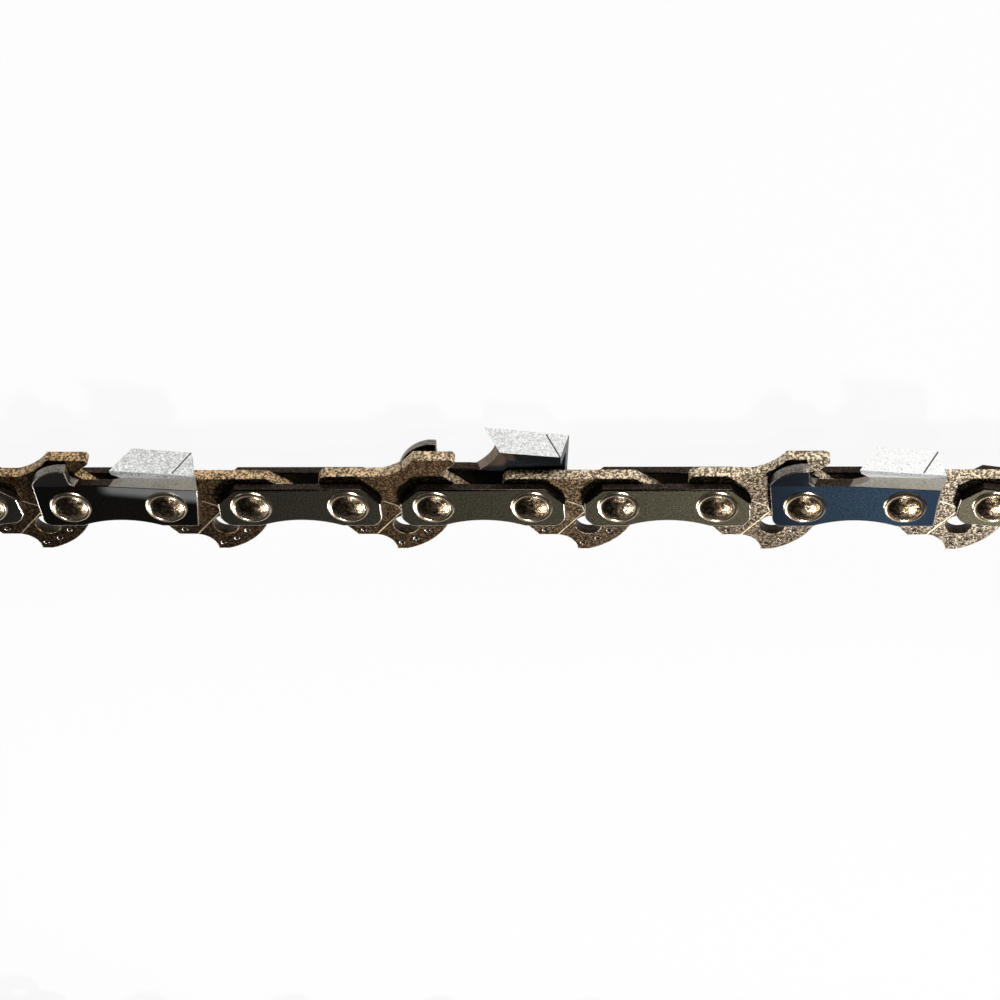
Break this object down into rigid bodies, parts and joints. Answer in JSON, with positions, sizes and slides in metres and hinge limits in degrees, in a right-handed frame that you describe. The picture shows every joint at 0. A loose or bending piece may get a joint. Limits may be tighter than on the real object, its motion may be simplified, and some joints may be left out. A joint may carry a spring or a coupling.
{
  "type": "chainsaw chain loop",
  "caption": "Closed loop of low-profile saw chain: riveted drive links, tie straps and left and right cutters with depth gauges, to run on a guide bar and cut wood.",
  "frame": {"origin": "centre of the loop, on the surface that it lies on", "axes": "+X along the two straight runs, +Y across the loop, +Z along the rivets, up"},
  "size_m": [0.2102, 0.12, 0.0066],
  "materials": {
    "bronzed_steel": "golden brown tempered steel, bright on edges",
    "blued_steel": "blue-black tempered steel with polished edges and bronze rivet heads",
    "chromed_steel": "blue-black steel body, hard-chromed top plate and upper side plate"
  },
  "bodies": {
    "right_cutter_link_1": {"right_cutter_link_1": "chromed_steel"},
    "drive_link_01": {"drive_link_01": "bronzed_steel"},
    "tie_strap_link_01": {"tie_strap_link_01": "blued_steel"},
    "drive_link_02": {"drive_link_02": "bronzed_steel"},
    "left_cutter_link_1": {"left_cutter_link_1": "chromed_steel"},
    "drive_link_03": {"drive_link_03": "bronzed_steel"},
    "tie_strap_link_02": {"tie_strap_link_02": "blued_steel"},
    "drive_link_04": {"drive_link_04": "bronzed_steel"},
    "right_cutter_link_2": {"right_cutter_link_2": "chromed_steel"},
    "drive_link_05": {"drive_link_05": "bronzed_steel"},
    "tie_strap_link_03": {"tie_strap_link_03": "blued_steel"},
    "drive_link_06": {"drive_link_06": "bronzed_steel"},
    "left_cutter_link_2": {"left_cutter_link_2": "chromed_steel"},
    "drive_link_07": {"drive_link_07": "bronzed_steel"},
    "tie_strap_link_04": {"tie_strap_link_04": "blued_steel"},
    "drive_link_08": {"drive_link_08": "bronzed_steel"},
    "right_cutter_link_3": {"right_cutter_link_3": "chromed_steel"},
    "drive_link_09": {"drive_link_09": "bronzed_steel"},
    "tie_strap_link_05": {"tie_strap_link_05": "blued_steel"},
    "drive_link_10": {"drive_link_10": "bronzed_steel"},
    "left_cutter_link_3": {"left_cutter_link_3": "chromed_steel"},
    "drive_link_11": {"drive_link_11": "bronzed_steel"},
    "tie_strap_link_06": {"tie_strap_link_06": "blued_steel"},
    "drive_link_12": {"drive_link_12": "bronzed_steel"},
    "right_cutter_link_4": {"right_cutter_link_4": "chromed_steel"},
    "drive_link_13": {"drive_link_13": "bronzed_steel"},
    "tie_strap_link_07": {"tie_strap_link_07": "blued_steel"},
    "drive_link_14": {"drive_link_14": "bronzed_steel"},
    "left_cutter_link_4": {"left_cutter_link_4": "chromed_steel"},
    "drive_link_15": {"drive_link_15": "bronzed_steel"},
    "tie_strap_link_08": {"tie_strap_link_08": "blued_steel"},
    "drive_link_16": {"drive_link_16": "bronzed_steel"},
    "right_cutter_link_5": {"right_cutter_link_5": "chromed_steel"},
    "drive_link_17": {"drive_link_17": "bronzed_steel"},
    "tie_strap_link_09": {"tie_strap_link_09": "blued_steel"},
    "drive_link_18": {"drive_link_18": "bronzed_steel"},
    "left_cutter_link_5": {"left_cutter_link_5": "chromed_steel"},
    "drive_link_19": {"drive_link_19": "bronzed_steel"},
    "tie_strap_link_10": {"tie_strap_link_10": "blued_steel"},
    "drive_link_20": {"drive_link_20": "bronzed_steel"},
    "right_cutter_link_6": {"right_cutter_link_6": "chromed_steel"},
    "drive_link_21": {"drive_link_21": "bronzed_steel"},
    "tie_strap_link_11": {"tie_strap_link_11": "blued_steel"},
    "drive_link_22": {"drive_link_22": "bronzed_steel"},
    "left_cutter_link_6": {"left_cutter_link_6": "chromed_steel"},
    "drive_link_23": {"drive_link_23": "bronzed_steel"},
    "tie_strap_link_12": {"tie_strap_link_12": "blued_steel"},
    "drive_link_24": {"drive_link_24": "bronzed_steel"},
    "right_cutter_link_7": {"right_cutter_link_7": "chromed_steel"},
    "drive_link_25": {"drive_link_25": "bronzed_steel"},
    "tie_strap_link_13": {"tie_strap_link_13": "blued_steel"},
    "drive_link_26": {"drive_link_26": "bronzed_steel"},
    "left_cutter_link_7": {"left_cutter_link_7": "chromed_steel"},
    "drive_link_27": {"drive_link_27": "bronzed_steel"},
    "tie_strap_link_14": {"tie_strap_link_14": "blued_steel"},
    "drive_link_28": {"drive_link_28": "bronzed_steel"}
  },
  "joints": [
    {"name": "pivot_01", "type": "hinge", "parent": "right_cutter_link_1", "child": "drive_link_01", "pos_m": [0.00496, 0.05329, 0.0033], "axis": [0, 0, -1], "range_deg": [-4, 6.4]},
    {"name": "pivot_02", "type": "hinge", "parent": "drive_link_01", "child": "tie_strap_link_01", "pos_m": [0.01368, 0.05329, 0.0033], "axis": [0, 0, -1], "range_deg": [-30, 45]},
    {"name": "pivot_03", "type": "hinge", "parent": "tie_strap_link_01", "child": "drive_link_02", "pos_m": [0.0236, 0.05329, 0.0033], "axis": [0, 0, -1], "range_deg": [-30, 45]},
    {"name": "pivot_04", "type": "hinge", "parent": "drive_link_02", "child": "left_cutter_link_1", "pos_m": [0.03232, 0.05329, 0.0033], "axis": [0, 0, -1], "range_deg": [-30, 45]},
    {"name": "pivot_05", "type": "hinge", "parent": "left_cutter_link_1", "child": "drive_link_03", "pos_m": [0.04224, 0.05329, 0.0033], "axis": [0, 0, -1], "range_deg": [-30, 45]},
    {"name": "pivot_06", "type": "hinge", "parent": "drive_link_03", "child": "tie_strap_link_02", "pos_m": [0.05096, 0.05329, 0.0033], "axis": [0, 0, -1], "range_deg": [-40, 35]},
    {"name": "pivot_07", "type": "hinge", "parent": "tie_strap_link_02", "child": "drive_link_04", "pos_m": [0.06073, 0.05157, 0.0033], "axis": [0, 0, -1], "range_deg": [-40, 35]},
    {"name": "pivot_08", "type": "hinge", "parent": "drive_link_04", "child": "right_cutter_link_2", "pos_m": [0.06892, 0.04859, 0.0033], "axis": [0, 0, -1], "range_deg": [-40, 35]},
    {"name": "pivot_09", "type": "hinge", "parent": "right_cutter_link_2", "child": "drive_link_05", "pos_m": [0.07751, 0.04363, 0.0033], "axis": [0, 0, -1], "range_deg": [-40, 35]},
    {"name": "pivot_10", "type": "hinge", "parent": "drive_link_05", "child": "tie_strap_link_03", "pos_m": [0.08419, 0.03802, 0.0033], "axis": [0, 0, -1], "range_deg": [-40, 35]},
    {"name": "pivot_11", "type": "hinge", "parent": "tie_strap_link_03", "child": "drive_link_06", "pos_m": [0.09057, 0.03042, 0.0033], "axis": [0, 0, -1], "range_deg": [-40, 35]},
    {"name": "pivot_12", "type": "hinge", "parent": "drive_link_06", "child": "left_cutter_link_2", "pos_m": [0.09493, 0.02287, 0.0033], "axis": [0, 0, -1], "range_deg": [-40, 35]},
    {"name": "pivot_13", "type": "hinge", "parent": "left_cutter_link_2", "child": "drive_link_07", "pos_m": [0.09832, 0.01355, 0.0033], "axis": [0, 0, -1], "range_deg": [-40, 35]},
    {"name": "pivot_14", "type": "hinge", "parent": "drive_link_07", "child": "tie_strap_link_04", "pos_m": [0.09984, 0.00496, 0.0033], "axis": [0, 0, -1], "range_deg": [-40, 35]},
    {"name": "pivot_15", "type": "hinge", "parent": "tie_strap_link_04", "child": "drive_link_08", "pos_m": [0.09984, -0.00496, 0.0033], "axis": [0, 0, -1], "range_deg": [-40, 35]},
    {"name": "pivot_16", "type": "hinge", "parent": "drive_link_08", "child": "right_cutter_link_3", "pos_m": [0.09832, -0.01355, 0.0033], "axis": [0, 0, -1], "range_deg": [-40, 35]},
    {"name": "pivot_17", "type": "hinge", "parent": "right_cutter_link_3", "child": "drive_link_09", "pos_m": [0.09493, -0.02287, 0.0033], "axis": [0, 0, -1], "range_deg": [-40, 35]},
    {"name": "pivot_18", "type": "hinge", "parent": "drive_link_09", "child": "tie_strap_link_05", "pos_m": [0.09057, -0.03042, 0.0033], "axis": [0, 0, -1], "range_deg": [-40, 35]},
    {"name": "pivot_19", "type": "hinge", "parent": "tie_strap_link_05", "child": "drive_link_10", "pos_m": [0.08419, -0.03802, 0.0033], "axis": [0, 0, -1], "range_deg": [-40, 35]},
    {"name": "pivot_20", "type": "hinge", "parent": "drive_link_10", "child": "left_cutter_link_3", "pos_m": [0.07751, -0.04363, 0.0033], "axis": [0, 0, -1], "range_deg": [-40, 35]},
    {"name": "pivot_21", "type": "hinge", "parent": "left_cutter_link_3", "child": "drive_link_11", "pos_m": [0.06892, -0.04859, 0.0033], "axis": [0, 0, -1], "range_deg": [-40, 35]},
    {"name": "pivot_22", "type": "hinge", "parent": "drive_link_11", "child": "tie_strap_link_06", "pos_m": [0.06073, -0.05157, 0.0033], "axis": [0, 0, -1], "range_deg": [-40, 35]},
    {"name": "pivot_23", "type": "hinge", "parent": "tie_strap_link_06", "child": "drive_link_12", "pos_m": [0.05096, -0.05329, 0.0033], "axis": [0, 0, -1], "range_deg": [-40, 35]},
    {"name": "pivot_24", "type": "hinge", "parent": "drive_link_12", "child": "right_cutter_link_4", "pos_m": [0.04224, -0.05329, 0.0033], "axis": [0, 0, -1], "range_deg": [-30, 45]},
    {"name": "pivot_25", "type": "hinge", "parent": "right_cutter_link_4", "child": "drive_link_13", "pos_m": [0.03232, -0.05329, 0.0033], "axis": [0, 0, -1], "range_deg": [-30, 45]},
    {"name": "pivot_26", "type": "hinge", "parent": "drive_link_13", "child": "tie_strap_link_07", "pos_m": [0.0236, -0.05329, 0.0033], "axis": [0, 0, -1], "range_deg": [-30, 45]},
    {"name": "pivot_27", "type": "hinge", "parent": "tie_strap_link_07", "child": "drive_link_14", "pos_m": [0.01368, -0.05329, 0.0033], "axis": [0, 0, -1], "range_deg": [-30, 45]},
    {"name": "pivot_28", "type": "hinge", "parent": "drive_link_14", "child": "left_cutter_link_4", "pos_m": [0.00496, -0.05329, 0.0033], "axis": [0, 0, -1], "range_deg": [-30, 45]},
    {"name": "pivot_30", "type": "hinge", "parent": "tie_strap_link_08", "child": "drive_link_15", "pos_m": [-0.01368, -0.05329, 0.0033], "axis": [0, 0, 1], "range_deg": [-30, 45]},
    {"name": "pivot_31", "type": "hinge", "parent": "drive_link_16", "child": "tie_strap_link_08", "pos_m": [-0.0236, -0.05329, 0.0033], "axis": [0, 0, 1], "range_deg": [-30, 45]},
    {"name": "pivot_32", "type": "hinge", "parent": "right_cutter_link_5", "child": "drive_link_16", "pos_m": [-0.03232, -0.05329, 0.0033], "axis": [0, 0, 1], "range_deg": [-30, 45]},
    {"name": "pivot_33", "type": "hinge", "parent": "drive_link_17", "child": "right_cutter_link_5", "pos_m": [-0.04224, -0.05329, 0.0033], "axis": [0, 0, 1], "range_deg": [-30, 45]},
    {"name": "pivot_34", "type": "hinge", "parent": "tie_strap_link_09", "child": "drive_link_17", "pos_m": [-0.05096, -0.05329, 0.0033], "axis": [0, 0, 1], "range_deg": [-40, 35]},
    {"name": "pivot_35", "type": "hinge", "parent": "drive_link_18", "child": "tie_strap_link_09", "pos_m": [-0.06073, -0.05157, 0.0033], "axis": [0, 0, 1], "range_deg": [-40, 35]},
    {"name": "pivot_36", "type": "hinge", "parent": "left_cutter_link_5", "child": "drive_link_18", "pos_m": [-0.06892, -0.04859, 0.0033], "axis": [0, 0, 1], "range_deg": [-40, 35]},
    {"name": "pivot_37", "type": "hinge", "parent": "drive_link_19", "child": "left_cutter_link_5", "pos_m": [-0.07751, -0.04363, 0.0033], "axis": [0, 0, 1], "range_deg": [-40, 35]},
    {"name": "pivot_38", "type": "hinge", "parent": "tie_strap_link_10", "child": "drive_link_19", "pos_m": [-0.08419, -0.03802, 0.0033], "axis": [0, 0, 1], "range_deg": [-40, 35]},
    {"name": "pivot_39", "type": "hinge", "parent": "drive_link_20", "child": "tie_strap_link_10", "pos_m": [-0.09057, -0.03042, 0.0033], "axis": [0, 0, 1], "range_deg": [-40, 35]},
    {"name": "pivot_40", "type": "hinge", "parent": "right_cutter_link_6", "child": "drive_link_20", "pos_m": [-0.09493, -0.02287, 0.0033], "axis": [0, 0, 1], "range_deg": [-40, 35]},
    {"name": "pivot_41", "type": "hinge", "parent": "drive_link_21", "child": "right_cutter_link_6", "pos_m": [-0.09832, -0.01355, 0.0033], "axis": [0, 0, 1], "range_deg": [-40, 35]},
    {"name": "pivot_42", "type": "hinge", "parent": "tie_strap_link_11", "child": "drive_link_21", "pos_m": [-0.09984, -0.00496, 0.0033], "axis": [0, 0, 1], "range_deg": [-40, 35]},
    {"name": "pivot_43", "type": "hinge", "parent": "drive_link_22", "child": "tie_strap_link_11", "pos_m": [-0.09984, 0.00496, 0.0033], "axis": [0, 0, 1], "range_deg": [-40, 35]},
    {"name": "pivot_44", "type": "hinge", "parent": "left_cutter_link_6", "child": "drive_link_22", "pos_m": [-0.09832, 0.01355, 0.0033], "axis": [0, 0, 1], "range_deg": [-40, 35]},
    {"name": "pivot_45", "type": "hinge", "parent": "drive_link_23", "child": "left_cutter_link_6", "pos_m": [-0.09493, 0.02287, 0.0033], "axis": [0, 0, 1], "range_deg": [-40, 35]},
    {"name": "pivot_46", "type": "hinge", "parent": "tie_strap_link_12", "child": "drive_link_23", "pos_m": [-0.09057, 0.03042, 0.0033], "axis": [0, 0, 1], "range_deg": [-40, 35]},
    {"name": "pivot_47", "type": "hinge", "parent": "drive_link_24", "child": "tie_strap_link_12", "pos_m": [-0.08419, 0.03802, 0.0033], "axis": [0, 0, 1], "range_deg": [-40, 35]},
    {"name": "pivot_48", "type": "hinge", "parent": "right_cutter_link_7", "child": "drive_link_24", "pos_m": [-0.07751, 0.04363, 0.0033], "axis": [0, 0, 1], "range_deg": [-40, 35]},
    {"name": "pivot_49", "type": "hinge", "parent": "drive_link_25", "child": "right_cutter_link_7", "pos_m": [-0.06892, 0.04859, 0.0033], "axis": [0, 0, 1], "range_deg": [-40, 35]},
    {"name": "pivot_50", "type": "hinge", "parent": "tie_strap_link_13", "child": "drive_link_25", "pos_m": [-0.06073, 0.05157, 0.0033], "axis": [0, 0, 1], "range_deg": [-40, 35]},
    {"name": "pivot_51", "type": "hinge", "parent": "drive_link_26", "child": "tie_strap_link_13", "pos_m": [-0.05096, 0.05329, 0.0033], "axis": [0, 0, 1], "range_deg": [-40, 35]},
    {"name": "pivot_52", "type": "hinge", "parent": "left_cutter_link_7", "child": "drive_link_26", "pos_m": [-0.04224, 0.05329, 0.0033], "axis": [0, 0, 1], "range_deg": [-30, 45]},
    {"name": "pivot_53", "type": "hinge", "parent": "drive_link_27", "child": "left_cutter_link_7", "pos_m": [-0.03232, 0.05329, 0.0033], "axis": [0, 0, 1], "range_deg": [-30, 45]},
    {"name": "pivot_54", "type": "hinge", "parent": "tie_strap_link_14", "child": "drive_link_27", "pos_m": [-0.0236, 0.05329, 0.0033], "axis": [0, 0, 1], "range_deg": [-30, 45]},
    {"name": "pivot_55", "type": "hinge", "parent": "drive_link_28", "child": "tie_strap_link_14", "pos_m": [-0.01368, 0.05329, 0.0033], "axis": [0, 0, 1], "range_deg": [-30, 45]},
    {"name": "pivot_56", "type": "hinge", "parent": "right_cutter_link_1", "child": "drive_link_28", "pos_m": [-0.00496, 0.05329, 0.0033], "axis": [0, 0, 1], "range_deg": [-30, 45]}
  ],
  "couplings": [
    {"joint": "pivot_02", "follows": "pivot_01", "ratio": 1},
    {"joint": "pivot_03", "follows": "pivot_01", "ratio": 1},
    {"joint": "pivot_04", "follows": "pivot_01", "ratio": 1},
    {"joint": "pivot_05", "follows": "pivot_01", "ratio": 1},
    {"joint": "pivot_06", "follows": "pivot_01", "ratio": -0.55556},
    {"joint": "pivot_07", "follows": "pivot_01", "ratio": -0.55556},
    {"joint": "pivot_08", "follows": "pivot_01", "ratio": -0.55556},
    {"joint": "pivot_09", "follows": "pivot_01", "ratio": -0.55556},
    {"joint": "pivot_10", "follows": "pivot_01", "ratio": -0.55556},
    {"joint": "pivot_11", "follows": "pivot_01", "ratio": -0.55556},
    {"joint": "pivot_12", "follows": "pivot_01", "ratio": -0.55556},
    {"joint": "pivot_13", "follows": "pivot_01", "ratio": -0.55556},
    {"joint": "pivot_14", "follows": "pivot_01", "ratio": -0.55556},
    {"joint": "pivot_15", "follows": "pivot_01", "ratio": -0.55556},
    {"joint": "pivot_16", "follows": "pivot_01", "ratio": -0.55556},
    {"joint": "pivot_17", "follows": "pivot_01", "ratio": -0.55556},
    {"joint": "pivot_18", "follows": "pivot_01", "ratio": -0.55556},
    {"joint": "pivot_19", "follows": "pivot_01", "ratio": -0.55556},
    {"joint": "pivot_20", "follows": "pivot_01", "ratio": -0.55556},
    {"joint": "pivot_21", "follows": "pivot_01", "ratio": -0.55556},
    {"joint": "pivot_22", "follows": "pivot_01", "ratio": -0.55556},
    {"joint": "pivot_23", "follows": "pivot_01", "ratio": -0.55556},
    {"joint": "pivot_24", "follows": "pivot_01", "ratio": 1},
    {"joint": "pivot_25", "follows": "pivot_01", "ratio": 1},
    {"joint": "pivot_26", "follows": "pivot_01", "ratio": 1},
    {"joint": "pivot_27", "follows": "pivot_01", "ratio": 1},
    {"joint": "pivot_28", "follows": "pivot_01", "ratio": 1},
    {"joint": "pivot_30", "follows": "pivot_01", "ratio": 1},
    {"joint": "pivot_31", "follows": "pivot_01", "ratio": 1},
    {"joint": "pivot_32", "follows": "pivot_01", "ratio": 1},
    {"joint": "pivot_33", "follows": "pivot_01", "ratio": 1},
    {"joint": "pivot_34", "follows": "pivot_01", "ratio": -0.55556},
    {"joint": "pivot_35", "follows": "pivot_01", "ratio": -0.55556},
    {"joint": "pivot_36", "follows": "pivot_01", "ratio": -0.55556},
    {"joint": "pivot_37", "follows": "pivot_01", "ratio": -0.55556},
    {"joint": "pivot_38", "follows": "pivot_01", "ratio": -0.55556},
    {"joint": "pivot_39", "follows": "pivot_01", "ratio": -0.55556},
    {"joint": "pivot_40", "follows": "pivot_01", "ratio": -0.55556},
    {"joint": "pivot_41", "follows": "pivot_01", "ratio": -0.55556},
    {"joint": "pivot_42", "follows": "pivot_01", "ratio": -0.55556},
    {"joint": "pivot_43", "follows": "pivot_01", "ratio": -0.55556},
    {"joint": "pivot_44", "follows": "pivot_01", "ratio": -0.55556},
    {"joint": "pivot_45", "follows": "pivot_01", "ratio": -0.55556},
    {"joint": "pivot_46", "follows": "pivot_01", "ratio": -0.55556},
    {"joint": "pivot_47", "follows": "pivot_01", "ratio": -0.55556},
    {"joint": "pivot_48", "follows": "pivot_01", "ratio": -0.55556},
    {"joint": "pivot_49", "follows": "pivot_01", "ratio": -0.55556},
    {"joint": "pivot_50", "follows": "pivot_01", "ratio": -0.55556},
    {"joint": "pivot_51", "follows": "pivot_01", "ratio": -0.55556},
    {"joint": "pivot_52", "follows": "pivot_01", "ratio": 1},
    {"joint": "pivot_53", "follows": "pivot_01", "ratio": 1},
    {"joint": "pivot_54", "follows": "pivot_01", "ratio": 1},
    {"joint": "pivot_55", "follows": "pivot_01", "ratio": 1},
    {"joint": "pivot_56", "follows": "pivot_01", "ratio": 1}
  ]
}
